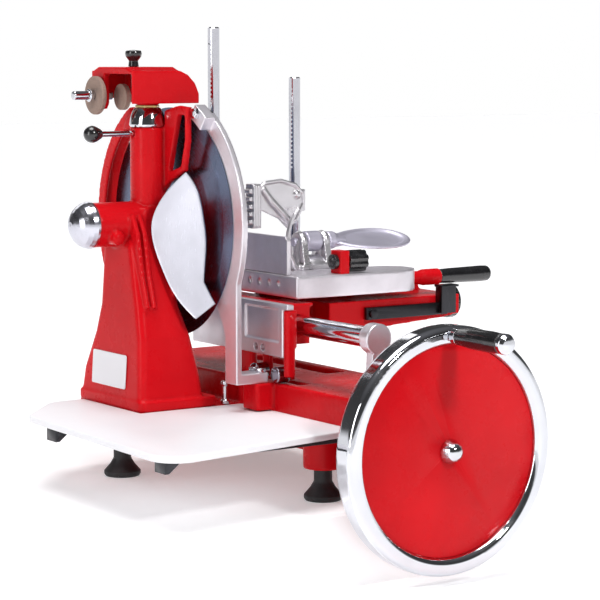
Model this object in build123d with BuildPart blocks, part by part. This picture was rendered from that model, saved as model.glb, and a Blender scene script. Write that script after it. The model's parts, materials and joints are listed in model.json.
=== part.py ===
"""Deli meat slicer: hand-cranked flywheel slicer with a 300 mm blade, millimetres, +Z up.

Origin: on the plane of the feet, straight below the centre of the blade.
+X points from the column to the meat table, -Y points to the flywheel side.
"""
import os

from build123d import *

os.makedirs("parts", exist_ok=True)

# ---------------------------------------------------------------- driving dimensions
BLADE_Z = 330.0
BLADE_R = 150.0
FIT = 0.05

BED_X0, BED_X1 = 56.0, 207.0
BED_Y0, BED_Y1 = -345.0, 200.0
BED_Z0, BED_Z1 = 52.0, 130.0
BED_WALL = 10.0
WING_X0, WING_Y, WING_Z1 = -96.0, 84.0, 94.0

SHAFT_X, SHAFT_Z = 131.0, 73.0
CROSS_Y = 10.0
SHAFT_R = 9.0
BUSH_R = 13.0

FLY_Y0, FLY_Y1 = -440.0, -406.0
FLY_R, FLY_WEB_R = 153.0, 130.0
HANDLE_R = 141.0

CHAIN_X = -48.0
WHEEL_R, SPROCKET_R = 28.0, 11.0

CRANK_R = 56.0
CRANK_X = 166.0
ROD_LENGTH = 126.0
LUG_Z = 90.0
LUG_Y = CROSS_Y - ((ROD_LENGTH - CRANK_R) ** 2 - (LUG_Z - SHAFT_Z) ** 2) ** 0.5

ROD_X, ROD_Z, ROD_R = 90.0, 203.0, 13.0

TABLE_X0, TABLE_X1 = 92.0, 300.0
TABLE_Y0, TABLE_Y1 = -160.0, 85.0
TABLE_STEP_X, TABLE_STEP_Y = 252.0, -88.0
TABLE_Z0, TABLE_Z1 = 235.0, 264.0

POST_R = 8.0
POST_Y = 60.0
POST_XA, POST_XB = 104.0, 236.0

NECK_X, NECK_R = -35.0, 23.0

FEET = [(-79.0, -4.0), (45.0, -288.0), (215.0, -288.0), (135.0, 165.0)]
FOOT_H = 40.0


# ---------------------------------------------------------------- building helpers
def block(x0, x1, y0, y1, z0, z1, mode=Mode.ADD):
    """A box between two corners, added to the open part."""
    with BuildSketch(Plane.XY.offset(z0)) as section:
        with Locations(((x0 + x1) / 2, (y0 + y1) / 2)):
            Rectangle(x1 - x0, y1 - y0)
    extrude(section.sketch, amount=z1 - z0, mode=mode)


def round_block(x0, x1, y0, y1, z0, z1, r, mode=Mode.ADD):
    """A box with rounded upright edges."""
    with BuildSketch(Plane.XY.offset(z0)) as section:
        with Locations(((x0 + x1) / 2, (y0 + y1) / 2)):
            RectangleRounded(x1 - x0, y1 - y0, r)
    extrude(section.sketch, amount=z1 - z0, mode=mode)


def disc_x(x0, x1, y, z, r, mode=Mode.ADD):
    """A round bar along X."""
    with BuildSketch(Plane.YZ.offset(x0)) as section:
        with Locations((y, z)):
            Circle(r)
    extrude(section.sketch, amount=x1 - x0, mode=mode)


def disc_y(y0, y1, x, z, r, mode=Mode.ADD):
    """A round bar along Y."""
    with BuildSketch(Plane.XZ.offset(-y1)) as section:
        with Locations((x, z)):
            Circle(r)
    extrude(section.sketch, amount=y1 - y0, mode=mode)


def disc_z(z0, z1, x, y, r, mode=Mode.ADD):
    """A round bar along Z."""
    with BuildSketch(Plane.XY.offset(z0)) as section:
        with Locations((x, y)):
            Circle(r)
    extrude(section.sketch, amount=z1 - z0, mode=mode)


def plate_x(x0, x1, points, mode=Mode.ADD):
    """A flat plate across X, its outline given as (y, z) points."""
    with BuildSketch(Plane.YZ.offset(x0)) as section:
        with BuildLine():
            Polyline(*points, close=True)
        make_face()
    extrude(section.sketch, amount=x1 - x0, mode=mode)


def plate_y(y0, y1, points, mode=Mode.ADD):
    """A flat plate across Y, its outline given as (x, z) points."""
    with BuildSketch(Plane.XZ.offset(-y1)) as section:
        with BuildLine():
            Polyline(*points, close=True)
        make_face()
    extrude(section.sketch, amount=y1 - y0, mode=mode)


def turned_x(y, z, points):
    """A turned piece about an X axis through (y, z), profile given as (x, radius)."""
    with BuildSketch(Plane(origin=(0, y, z), x_dir=(1, 0, 0), z_dir=(0, -1, 0))) as section:
        with BuildLine():
            Polyline(*points, close=True)
        make_face()
    revolve(section.sketch, axis=Axis((0, y, z), (1, 0, 0)))


def turned_y(x, z, points):
    """A turned piece about a Y axis through (x, z), profile given as (y, radius)."""
    with BuildSketch(Plane(origin=(x, 0, z), x_dir=(0, 1, 0), z_dir=(1, 0, 0))) as section:
        with BuildLine():
            Polyline(*points, close=True)
        make_face()
    revolve(section.sketch, axis=Axis((x, 0, z), (0, 1, 0)))


def turned_z(x, y, points):
    """A turned piece about a Z axis through (x, y), profile given as (radius, z)."""
    with BuildSketch(Plane(origin=(x, y, 0), x_dir=(1, 0, 0), z_dir=(0, -1, 0))) as section:
        with BuildLine():
            Polyline(*points, close=True)
        make_face()
    revolve(section.sketch, axis=Axis((x, y, 0), (0, 0, 1)))


def arc_band_x(x0, x1, r0, r1, start, size, mode=Mode.ADD):
    """Part of a ring about the blade axis; angles count from +Y towards +Z."""
    with BuildSketch(Plane.YZ.offset(x0)) as section:
        with BuildLine():
            CenterArc((0, BLADE_Z), r0, start, size)
            CenterArc((0, BLADE_Z), r1, start, size)
            Line(PolarPoint(r0, start), PolarPoint(r1, start))
            Line(PolarPoint(r0, start + size), PolarPoint(r1, start + size))
        make_face()
    extrude(section.sketch, amount=x1 - x0, mode=mode)


def PolarPoint(radius, angle):
    """A point at a radius and angle about the blade centre, as (y, z)."""
    point = Vector(radius, 0).rotate(Axis.Z, angle)
    return (point.X, point.Y + BLADE_Z)


# ---------------------------------------------------------------- base
with BuildPart() as bed_casting:
    round_block(BED_X0, BED_X1, BED_Y0, BED_Y1, BED_Z0, BED_Z1, 12)
    round_block(WING_X0, BED_X0 + 14, -WING_Y, WING_Y, BED_Z0, WING_Z1, 8)
    for foot_x, foot_y in FEET[:3]:
        disc_z(FOOT_H, 85.5, foot_x, foot_y, 25)
    round_block(BED_X0 + BED_WALL, BED_X1 - BED_WALL, BED_Y0 + BED_WALL, BED_Y1 - BED_WALL, BED_Z0,
                BED_Z1 - BED_WALL, 6, Mode.SUBTRACT)
    block(WING_X0 + 8, BED_X0, -WING_Y + 8, WING_Y - 8, BED_Z0, WING_Z1 - 8, Mode.SUBTRACT)
    # solid feet bosses, also where they reach under the open casting
    disc_z(FOOT_H, 85.5, FEET[0][0], FEET[0][1], 23)
    disc_z(FOOT_H, 124, FEET[3][0], FEET[3][1], 25)
    for foot_x, foot_y in FEET[1:3]:
        disc_z(FOOT_H, 85.5, foot_x, foot_y, 25)
    # pad under the foot of the ring guard
    round_block(30, BED_X0 + 8, -161, -125, 95, BED_Z1, 4)
    # bearing webs
    block(-30, -22, -20, 40, BED_Z0, 90)
    block(150, 160, -6, 45, BED_Z0, 124)
    block(BED_X0 + 4, 160, -78, -66, BED_Z0, 100)
    disc_x(-40, 230, CROSS_Y, SHAFT_Z, BUSH_R, Mode.SUBTRACT)
    disc_y(-350, -60, SHAFT_X, SHAFT_Z, BUSH_R, Mode.SUBTRACT)
    # slots for the crank and for the carriage's driving arm, and the chain opening under the column
    block(162, 194, -125, 78, 100, 140, Mode.SUBTRACT)
    block(72.5, 85.5, -196, -50, 100, 140, Mode.SUBTRACT)
    block(-57, -39, -30, 50, 80, 100, Mode.SUBTRACT)
    for foot_x, foot_y in FEET:
        disc_z(FOOT_H, FOOT_H + 22, foot_x, foot_y, 5, Mode.SUBTRACT)
bed_casting.part.label = "bed_casting"
export_step(bed_casting.part, "parts/bed_casting.step")


with BuildPart() as rubber_feet:
    for foot_x, foot_y in FEET:
        turned_z(foot_x, foot_y, [(4, 0), (22, 0), (24, 3), (24, 7), (16, 16), (11.5, 24), (11.5, 39.9),
                                  (5, 39.9), (5, 22), (4, 22)])
rubber_feet.part.label = "rubber_feet"
export_step(rubber_feet.part, "parts/rubber_feet.step")


with BuildPart() as foot_studs:
    for foot_x, foot_y in FEET:
        disc_z(22.1, 60, foot_x, foot_y, 4.95)
foot_studs.part.label = "foot_studs"
export_step(foot_studs.part, "parts/foot_studs.step")


# ---------------------------------------------------------------- receiving tray
TRAY = [(-148, 66), (-225, -20), (-240, -392), (30, -343), (55.7, -318), (55.7, -86), (-98.5, -86), (-98.5, 66)]
with BuildPart() as tray:
    with BuildSketch(Plane.XY.offset(86)) as tray_outline:
        with BuildLine():
            Polyline(*TRAY, close=True)
        make_face()
        fillet(tray_outline.vertices().sort_by(Axis.X)[0:3], 34)
        fillet(tray_outline.vertices().group_by(Axis.X)[-1], 8)
    extrude(amount=8)
    fillet(tray.faces().sort_by(Axis.Z)[-1].edges().sort_by(Axis.X)[0:3], 2)
tray.part.label = "tray"
export_step(tray.part, "parts/tray.step")


with BuildPart() as tray_brackets:
    for bracket_y, bracket_x in ((-342, BED_X0), (-74, WING_X0)):
        block(-214, bracket_x, bracket_y, bracket_y + 24, 80, 85.9)
        plate_y(bracket_y, bracket_y + 24, [(-214, 66), (-208, 66), (-190, 80), (-214, 85.9)])
tray_brackets.part.label = "tray_brackets"
export_step(tray_brackets.part, "parts/tray_brackets.step")


with BuildPart() as tray_stud:
    turned_z(34, -78, [(0, 94.2), (6, 94.2), (6, 99), (4, 101), (4, 118), (5.5, 120), (5.5, 124), (0, 126)])
tray_stud.part.label = "tray_stud"
export_step(tray_stud.part, "parts/tray_stud.step")


# ---------------------------------------------------------------- column
COLUMN = [
    (107, -95.0, 2, -80, 80), (137, -93.1, -2, -78, 75), (187, -90.0, -13, -73, 50), (224, -87.7, -23, -63, 39),
    (268, -85.0, -25, -49, 38), (305, -82.6, -26, -38, 38), (352, -60.0, -12.5, -24, 24),
]
with BuildPart() as column_casting:
    round_block(WING_X0, 20, -WING_Y, WING_Y, WING_Z1, 107, 8)
    for z, x0, x1, y0, y1 in COLUMN:
        with BuildSketch(Plane.XY.offset(z)):
            with Locations(((x0 + x1) / 2, (y0 + y1) / 2)):
                RectangleRounded(x1 - x0, y1 - y0, 10)
    loft(ruled=True)
    disc_x(-122, -22, 0, BLADE_Z, 29)
    disc_z(300, 455, NECK_X, 0, NECK_R)
    # two upright ribs on the front face
    for rib_x in (-78, -68):
        with BuildSketch(Plane.YZ.offset(rib_x)):
            with BuildLine():
                Polyline((-30, 345), (-44, 320), (-54, 270), (-68, 226), (-60, 220), (-30, 300), close=True)
            make_face()
        extrude(amount=6)
    # oil cup boss and the lug that carries the slice deflector
    disc_y(-34, -15, -98, 314, 9)
    disc_y(-37, -30, -98, 314, 6)
    with BuildSketch(Plane.XY.offset(240)):
        with BuildLine():
            Polyline((-33, -50), (-25, -50), (-23.2, -86.5), (-25.4, -83.2), (-33, -73.8), close=True)
        make_face()
    extrude(amount=14)
    # rear blade guard: flat ring, rim and the webs that carry it
    arc_band_x(-16, -11, 152, 170, -62, 124)
    arc_band_x(-16, 12, 163, 170, -62, 124)
    plate_x(-20, -13, [(30, 182), (84, 178), (92, 205), (60, 226), (30, 260)])
    plate_x(-20, -12.5, [(-10, 445), (-10, 472), (66, 472), (86, 462), (92, 448), (62, 452)])
    # front arm up to the top of the ring guard
    plate_x(-22, -14, [(-15, 372), (-15, 476), (-55, 484), (-78, 482), (-77, 440), (-68, 400), (-30, 384)])
    plate_x(-22, -14, [(-54, 472), (-71, 472), (-71, 440), (-61, 406), (-30, 397)], Mode.SUBTRACT)
    # hollow for the chain, spindle bore and neck bore
    plate_x(-57, -39, [(-30, 90), (50, 90), (21, 330), (21, 350), (-21, 350), (-21, 330)], Mode.SUBTRACT)
    disc_x(-115, -10, 0, BLADE_Z, 14, Mode.SUBTRACT)
    disc_z(380, 460, NECK_X, 0, 12 + FIT, Mode.SUBTRACT)
    disc_z(455, 490, NECK_X, 0, 24.4, Mode.SUBTRACT)
    disc_x(-62, -35, 0, 447, 4, Mode.SUBTRACT)
column_casting.part.label = "column_casting"
export_step(column_casting.part, "parts/column_casting.step")


with BuildPart() as name_plate:
    with BuildSketch(Plane(origin=(-93.6, 2, 141), x_dir=(0, 1, 0), z_dir=(-1, 0, 0.0625))):
        RectangleRounded(88, 44, 3)
    extrude(amount=1.2)
name_plate.part.label = "name_plate"
export_step(name_plate.part, "parts/name_plate.step")


with BuildPart() as dome_cap:
    turned_x(0, BLADE_Z, [(-122, 0), (-122, 30.5), (-125, 30.5), (-130.5, 29.2), (-136, 26.3), (-141, 22),
                          (-145, 16.8), (-148.2, 11), (-150.2, 5.4), (-151, 0)])
dome_cap.part.label = "dome_cap"
export_step(dome_cap.part, "parts/dome_cap.step")


with BuildPart() as neck_collar:
    turned_z(NECK_X, 0, [(12 + FIT, 455.1), (22.5, 455.1), (24, 458), (22.5, 467), (20, 475), (17, 480),
                         (12 + FIT, 480)])
neck_collar.part.label = "neck_collar"
export_step(neck_collar.part, "parts/neck_collar.step")


with BuildPart() as lock_lever_rod:
    disc_x(-108, -50, 0, 447, 3.6)
lock_lever_rod.part.label = "lock_lever_rod"
export_step(lock_lever_rod.part, "parts/lock_lever_rod.step")


with BuildPart() as lock_lever_ball:
    with Locations((-117.5, 0, 447)):
        Sphere(11)
    turned_x(0, 447, [(-117, 0), (-117, 10.9), (-111, 9.3), (-104, 5.4), (-104, 0)])
    disc_x(-108.1, -100, 0, 447, 3.65, Mode.SUBTRACT)
lock_lever_ball.part.label = "lock_lever_ball"
export_step(lock_lever_ball.part, "parts/lock_lever_ball.step")


# ---------------------------------------------------------------- blade and its guard
with BuildPart() as blade:
    turned_x(0, BLADE_Z, [(-2.5, 13.1), (-2.5, 100), (-1.0, 132), (0.9, BLADE_R), (1.5, BLADE_R),
                          (1.5, 132), (0.5, 100), (0.5, 13.1)])
    with Locations(Plane.YZ.offset(-5).shift_origin((-5, 0, BLADE_Z))):
        with PolarLocations(30, 3):
            Cylinder(3.2, 20, mode=Mode.SUBTRACT)
blade.part.label = "blade"
export_step(blade.part, "parts/blade.step")


with BuildPart() as blade_hub:
    turned_x(0, BLADE_Z, [(-10, 10.02), (-10, 38), (-8, 42), (-2.52, 42), (-2.52, 13), (0.5, 13), (0.5, 10.02)])
    with Locations(Plane.YZ.offset(-5).shift_origin((-5, 0, BLADE_Z))):
        with PolarLocations(30, 3):
            Cylinder(3.05, 20, mode=Mode.SUBTRACT)
blade_hub.part.label = "blade_hub"
export_step(blade_hub.part, "parts/blade_hub.step")


with BuildPart() as blade_screws:
    with Locations(Plane.YZ.offset(-3.7).shift_origin((-3.7, 0, BLADE_Z))):
        with PolarLocations(30, 3):
            Cylinder(3, 8.5)
    with Locations(Plane.YZ.offset(2.05).shift_origin((2.05, 0, BLADE_Z))):
        with PolarLocations(30, 3):
            Cylinder(6, 3)
blade_screws.part.label = "blade_screws"
export_step(blade_screws.part, "parts/blade_screws.step")


with BuildPart() as blade_spindle:
    disc_x(-108, 4, 0, BLADE_Z, 10)
blade_spindle.part.label = "blade_spindle"
export_step(blade_spindle.part, "parts/blade_spindle.step")


with BuildPart() as spindle_sprocket:
    disc_x(CHAIN_X - 4, CHAIN_X + 4, 0, BLADE_Z, SPROCKET_R + 2.6)
    for side_x in (CHAIN_X - 4, CHAIN_X + 2.5):
        disc_x(side_x, side_x + 1.5, 0, BLADE_Z, SPROCKET_R + 3)
    disc_x(-60, 0, 0, BLADE_Z, 10.02, Mode.SUBTRACT)
spindle_sprocket.part.label = "spindle_sprocket"
export_step(spindle_sprocket.part, "parts/spindle_sprocket.step")


with BuildPart() as guard_ring:
    arc_band_x(2, 10, 147, 172, 119, 84)
    plate_x(2, 10, [(-129, 130.1), (-157, 130.1), (-157, 258), (-168, 300), (-148, 300), (-120, 272), (-92, 258),
                    (-106, 232), (-123, 206), (-129, 191)])
    block(2, 50, -157, -129, 130.1, 144)
    arc_band_x(-13.5, 2.5, 155, 176, 118, 10)
    disc_x(-20, 12, -88, 474, 4, Mode.SUBTRACT)
    for bolt_y in (-151, -135):
        disc_z(125, 150, 42, bolt_y, 4, Mode.SUBTRACT)
guard_ring.part.label = "guard_ring"
export_step(guard_ring.part, "parts/guard_ring.step")


with BuildPart() as guard_bolts:
    disc_x(-13.6, 9, -88, 474, 3.9)
    with BuildSketch(Plane.YZ.offset(-19)):
        with Locations((-88, 474)):
            RegularPolygon(7.5, 6)
    extrude(amount=5.4)
    for bolt_y in (-151, -135):
        disc_z(130.2, 145, 42, bolt_y, 3.9)
        with BuildSketch(Plane.XY.offset(144.05)):
            with Locations((42, bolt_y)):
                RegularPolygon(7.5, 6)
        extrude(amount=5)
guard_bolts.part.label = "guard_bolts"
export_step(guard_bolts.part, "parts/guard_bolts.step")


# a polished plate standing square to the line of sight along (-0.84, -0.54)
DEFLECTOR_PLANE = Plane(origin=(-35.48, -70, 0), x_dir=(0.537, -0.844, 0), z_dir=(-0.844, -0.537, 0))
DEFLECTOR = [(16.7, 399.5), (33.6, 374.4), (40.5, 345.2), (44.6, 309.4), (43.1, 283.7), (41.5, 259.3),
             (57, 231.6), (29.9, 211), (14.2, 224.5), (-4.4, 247.1), (-18.6, 275), (-30, 304.4),
             (-32.6, 334.1), (-23.8, 356.3), (-9.3, 375.9)]
with BuildPart() as slice_deflector:
    with BuildSketch(DEFLECTOR_PLANE) as deflector_outline:
        with BuildLine():
            Spline(DEFLECTOR[0], DEFLECTOR[1], DEFLECTOR[2], DEFLECTOR[3], DEFLECTOR[4], DEFLECTOR[5])
            Polyline(DEFLECTOR[5], DEFLECTOR[6], DEFLECTOR[7])
            Spline(DEFLECTOR[7], DEFLECTOR[8], DEFLECTOR[9], DEFLECTOR[10], DEFLECTOR[11], DEFLECTOR[12],
                   DEFLECTOR[13], DEFLECTOR[14], DEFLECTOR[0])
        make_face()
    extrude(amount=3)
slice_deflector.part.label = "slice_deflector"
export_step(slice_deflector.part, "parts/slice_deflector.step")


# ---------------------------------------------------------------- bearings and drive
with BuildPart() as bearing_bushes:
    for bush_x0, bush_x1 in ((-111, -84), (-38.5, -23)):
        disc_x(bush_x0, bush_x1, 0, BLADE_Z, 13.98)
    for bush_x0, bush_x1 in ((-30, -22), (56, 66), (150, 160)):
        disc_x(bush_x0, bush_x1, CROSS_Y, SHAFT_Z, BUSH_R - 0.02)
    for bush_y0, bush_y1 in ((-345, -335), (-78, -66)):
        disc_y(bush_y0, bush_y1, SHAFT_X, SHAFT_Z, BUSH_R - 0.02)
    disc_x(-115, -20, 0, BLADE_Z, 10 + FIT, Mode.SUBTRACT)
    disc_x(-40, 165, CROSS_Y, SHAFT_Z, SHAFT_R + FIT, Mode.SUBTRACT)
    disc_y(-350, -60, SHAFT_X, SHAFT_Z, SHAFT_R + FIT, Mode.SUBTRACT)
bearing_bushes.part.label = "bearing_bushes"
export_step(bearing_bushes.part, "parts/bearing_bushes.step")


with BuildPart() as flywheel_shaft:
    disc_y(-424, -24, SHAFT_X, SHAFT_Z, SHAFT_R)
    disc_y(-444, -424, SHAFT_X, SHAFT_Z, 7)
flywheel_shaft.part.label = "flywheel_shaft"
export_step(flywheel_shaft.part, "parts/flywheel_shaft.step")


with BuildPart() as bevel_pinion:
    turned_y(SHAFT_X, SHAFT_Z, [(-32, 0), (-32, 18), (-24, 18), (-22, 28), (-19.5, 28.6), (-10, 19), (-10, 0)])
    disc_y(-40, -24, SHAFT_X, SHAFT_Z, SHAFT_R + 0.02, Mode.SUBTRACT)
    with Locations(Plane(origin=(SHAFT_X, -17, SHAFT_Z), x_dir=(1, 0, 0), z_dir=(0, 1, 0))):
        with PolarLocations(27, 18):
            Box(7, 2.4, 20, rotation=(0, -45, 0), mode=Mode.SUBTRACT)
bevel_pinion.part.label = "bevel_pinion"
export_step(bevel_pinion.part, "parts/bevel_pinion.step")


with BuildPart() as bevel_gear:
    turned_x(CROSS_Y, SHAFT_Z, [(SHAFT_X - 42, 0), (SHAFT_X - 42, 18), (SHAFT_X - 34, 18), (SHAFT_X - 32, 28),
                                (SHAFT_X - 29.5, 28.6), (SHAFT_X - 20, 19), (SHAFT_X - 20, 0)])
    disc_x(80, 120, CROSS_Y, SHAFT_Z, SHAFT_R + 0.02, Mode.SUBTRACT)
    with Locations(Plane(origin=(SHAFT_X - 27, CROSS_Y, SHAFT_Z), x_dir=(0, 1, 0), z_dir=(1, 0, 0))):
        with PolarLocations(27, 18):
            Box(7, 2.4, 20, rotation=(0, -45, 0), mode=Mode.SUBTRACT)
bevel_gear.part.label = "bevel_gear"
export_step(bevel_gear.part, "parts/bevel_gear.step")


with BuildPart() as cross_shaft:
    disc_x(-54, CRANK_X + 9.5, CROSS_Y, SHAFT_Z, SHAFT_R)
cross_shaft.part.label = "cross_shaft"
export_step(cross_shaft.part, "parts/cross_shaft.step")


with BuildPart() as chain_wheel:
    disc_x(CHAIN_X - 3, CHAIN_X + 3, CROSS_Y, SHAFT_Z, WHEEL_R)
    disc_x(CHAIN_X - 6, CHAIN_X + 6, CROSS_Y, SHAFT_Z, 15)
    disc_x(-60, -30, CROSS_Y, SHAFT_Z, SHAFT_R + 0.02, Mode.SUBTRACT)
    with Locations(Plane.YZ.offset(CHAIN_X).shift_origin((CHAIN_X, CROSS_Y, SHAFT_Z))):
        with PolarLocations(WHEEL_R, 24):
            Cylinder(1.9, 12, mode=Mode.SUBTRACT)
chain_wheel.part.label = "chain_wheel"
export_step(chain_wheel.part, "parts/chain_wheel.step")


with BuildPart() as drive_chain:
    with BuildSketch(Plane.YZ.offset(CHAIN_X - 2.2)):
        with Locations((CROSS_Y, SHAFT_Z)):
            Circle(WHEEL_R + 4.6)
        with Locations((0, BLADE_Z)):
            Circle(SPROCKET_R + 7.4)
        make_hull()
    extrude(amount=4.4)
    with BuildSketch(Plane.YZ.offset(CHAIN_X - 2.2)):
        with Locations((CROSS_Y, SHAFT_Z)):
            Circle(WHEEL_R + 0.6)
        with Locations((0, BLADE_Z)):
            Circle(SPROCKET_R + 3.4)
        make_hull()
    extrude(amount=4.4, mode=Mode.SUBTRACT)
drive_chain.part.label = "drive_chain"
export_step(drive_chain.part, "parts/drive_chain.step")


# the crank pin stands at the rear dead centre of the carriage stroke
PIN_Y = CROSS_Y + CRANK_R * (CROSS_Y - LUG_Y) / (ROD_LENGTH - CRANK_R)
PIN_Z = SHAFT_Z + CRANK_R * (SHAFT_Z - LUG_Z) / (ROD_LENGTH - CRANK_R)
with BuildPart() as crank_disc:
    disc_x(CRANK_X, CRANK_X + 10, CROSS_Y, SHAFT_Z, 20)
    with BuildSketch(Plane.YZ.offset(CRANK_X)):
        with Locations((CROSS_Y, SHAFT_Z)):
            Circle(20)
        with Locations((PIN_Y, PIN_Z)):
            Circle(9)
        make_hull()
    extrude(amount=10)
    disc_x(CRANK_X + 10, CRANK_X + 12.5, PIN_Y, PIN_Z, 6)
    disc_x(CRANK_X - 2, CRANK_X + 9.6, CROSS_Y, SHAFT_Z, SHAFT_R + 0.02, Mode.SUBTRACT)
crank_disc.part.label = "crank_disc"
export_step(crank_disc.part, "parts/crank_disc.step")


with BuildPart() as connecting_rod:
    with BuildSketch(Plane.YZ.offset(CRANK_X + 13.5)):
        with Locations((LUG_Y, LUG_Z)):
            Circle(12)
        with Locations((PIN_Y, PIN_Z)):
            Circle(11)
        make_hull()
    extrude(amount=8)
    disc_x(CRANK_X + 10, CRANK_X + 30, LUG_Y, LUG_Z, 6 + FIT, Mode.SUBTRACT)
    disc_x(CRANK_X + 10, CRANK_X + 30, PIN_Y, PIN_Z, 6.2, Mode.SUBTRACT)
connecting_rod.part.label = "connecting_rod"
export_step(connecting_rod.part, "parts/connecting_rod.step")


# ---------------------------------------------------------------- flywheel
with BuildPart() as flywheel_disc:
    turned_y(SHAFT_X, SHAFT_Z, [(-432, 7.05), (-432, FLY_WEB_R), (-424.1, FLY_WEB_R), (-424.1, 30),
                                (-402, 22), (-402, SHAFT_R + 0.05), (-424, SHAFT_R + 0.05), (-424, 7.05)])
flywheel_disc.part.label = "flywheel_disc"
export_step(flywheel_disc.part, "parts/flywheel_disc.step")


with BuildPart() as flywheel_rim:
    with BuildSketch(Plane(origin=(SHAFT_X, 0, SHAFT_Z), x_dir=(0, 1, 0), z_dir=(1, 0, 0))) as rim_section:
        with Locations(((FLY_Y0 + FLY_Y1) / 2, (FLY_R + FLY_WEB_R) / 2 + 0.05)):
            RectangleRounded(FLY_Y1 - FLY_Y0, FLY_R - FLY_WEB_R - 0.1, 9)
    revolve(axis=Axis((SHAFT_X, 0, SHAFT_Z), (0, 1, 0)))
    disc_y(-452, FLY_Y1 + 2, SHAFT_X, SHAFT_Z + HANDLE_R, 6.02, Mode.SUBTRACT)
flywheel_rim.part.label = "flywheel_rim"
export_step(flywheel_rim.part, "parts/flywheel_rim.step")


with BuildPart() as hub_nut:
    turned_y(SHAFT_X, SHAFT_Z, [(-450, 0), (-449, 6), (-445, 11), (-440, 13), (-435, 15), (-432.1, 15),
                                (-432.1, 7.05), (-444.1, 7.05), (-444.1, 0)])
hub_nut.part.label = "hub_nut"
export_step(hub_nut.part, "parts/hub_nut.step")


with BuildPart() as handle_stud:
    turned_y(SHAFT_X, SHAFT_Z + HANDLE_R, [(-545, 0), (-543, 9), (-538, 12.5), (-532, 12.5), (-531, 6),
                                           (-450, 6), (-450, 10), (-441, 10), (-441, 6), (-407, 6), (-407, 0)])
handle_stud.part.label = "handle_stud"
export_step(handle_stud.part, "parts/handle_stud.step")


with BuildPart() as handle_grip:
    turned_y(SHAFT_X, SHAFT_Z + HANDLE_R, [(-530.7, 6 + FIT), (-530.7, 12), (-510, 13), (-475, 12.4),
                                           (-455, 10.5), (-450.3, 10.5), (-450.3, 6 + FIT)])
handle_grip.part.label = "handle_grip"
export_step(handle_grip.part, "parts/handle_grip.step")


# ---------------------------------------------------------------- carriage
with BuildPart() as carriage_rod:
    disc_y(-340, 160, ROD_X, ROD_Z, ROD_R)
carriage_rod.part.label = "carriage_rod"
export_step(carriage_rod.part, "parts/carriage_rod.step")


with BuildPart() as rod_supports:
    for support_y in (-344, 148):
        disc_y(support_y, support_y + 18, ROD_X, ROD_Z, 19)
        plate_y(support_y + 2, support_y + 16, [(78, 130.1), (102, 130.1), (98, 190), (82, 190)])
        block(72, 112, support_y, support_y + 18, 130.1, 138)
    disc_y(-340.1, 160.1, ROD_X, ROD_Z, ROD_R + 0.02, Mode.SUBTRACT)
rod_supports.part.label = "rod_supports"
export_step(rod_supports.part, "parts/rod_supports.step")


with BuildPart() as carriage_casting:
    round_block(66.1, 116, -166, 40, 178, 230, 5)
    plate_y(-150, -20, [(110, 180), (340, 196), (364, 200), (364, 226), (110, 226)])
    block(118, 360, -64, -24, 225, 234.4)
    # open corner beside the rod, under the front of the table
    block(108, 150, -170, -112, 170, 226, Mode.SUBTRACT)
    # front bar with the two roller pins
    round_block(56, 70, -192, -181, 140, 225.9, 3)
    block(66.1, 72, -190, -150, 178, 225.9)
    for pin_y in (-168, -118):
        disc_x(66.2, 72, pin_y, 141, 4)
        block(72, 78, pin_y - 8, pin_y + 8, 134, 180)
    # driving arm: down through the bed's slot, across under its top, and the connecting rod's pin
    block(74, 84, LUG_Y - 22, LUG_Y + 4, 104, 190)
    block(74, 196, LUG_Y - 22, LUG_Y + 2, 104, 117)
    block(189, 196, LUG_Y - 22, LUG_Y + 12, 78, 117)
    disc_x(CRANK_X + 13, 190, LUG_Y, LUG_Z, 6)
    disc_y(-250, 60, ROD_X, ROD_Z, ROD_R + 0.08, Mode.SUBTRACT)
    disc_x(300, 366, -106, 212, 5 + FIT, Mode.SUBTRACT)
carriage_casting.part.label = "carriage_casting"
export_step(carriage_casting.part, "parts/carriage_casting.step")


with BuildPart() as side_frame:
    round_block(56, 66, -180.9, 40, 164, 233, 2)
    block(56, 66, -192, -178, 226, 233)
    block(50, 59, -171, -92, 183, 226, Mode.SUBTRACT)
    for hole_y in (-134, -118):
        disc_x(50, 70, hole_y, 173, 5, Mode.SUBTRACT)
side_frame.part.label = "side_frame"
export_step(side_frame.part, "parts/side_frame.step")


for roller_name, pin_y in (("guide_roller_front", -168), ("guide_roller_rear", -118)):
    with BuildPart() as guide_roller:
        turned_x(pin_y, 141, [(52, 9), (53, 10.5), (70.6, 10.5), (71.6, 9), (71.6, 4 + FIT), (66.1, 4 + FIT),
                              (66.1, 0), (52, 0)])
    guide_roller.part.label = roller_name
    export_step(guide_roller.part, "parts/" + roller_name + ".step")


with BuildPart() as index_bar:
    round_block(205, 340, -158, -150.1, 201, 217, 3)
    disc_y(-162, -158, 214, 209, 6)
    block(324, 348, -164, -150.1, 203, 238)
    block(323.5, 352, -165, -148, 238, 241)
index_bar.part.label = "index_bar"
export_step(index_bar.part, "parts/index_bar.step")


with BuildPart() as feed_screw:
    disc_x(302, 380, -106, 212, 5)
    for thread_x in range(366, 372, 2):
        disc_x(thread_x, thread_x + 1, -106, 212, 6)
feed_screw.part.label = "feed_screw"
export_step(feed_screw.part, "parts/feed_screw.step")


with BuildPart() as thickness_dial:
    turned_x(-106, 212, [(372.5, 5.02), (372.5, 21), (374.5, 23), (384, 23), (386, 21), (386, 10), (390, 8),
                         (390, 0), (380.1, 0), (380.1, 5.02)])
    with Locations(Plane.YZ.offset(379).shift_origin((379, -106, 212))):
        with PolarLocations(24, 20):
            Cylinder(1.6, 14, mode=Mode.SUBTRACT)
thickness_dial.part.label = "thickness_dial"
export_step(thickness_dial.part, "parts/thickness_dial.step")


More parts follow.
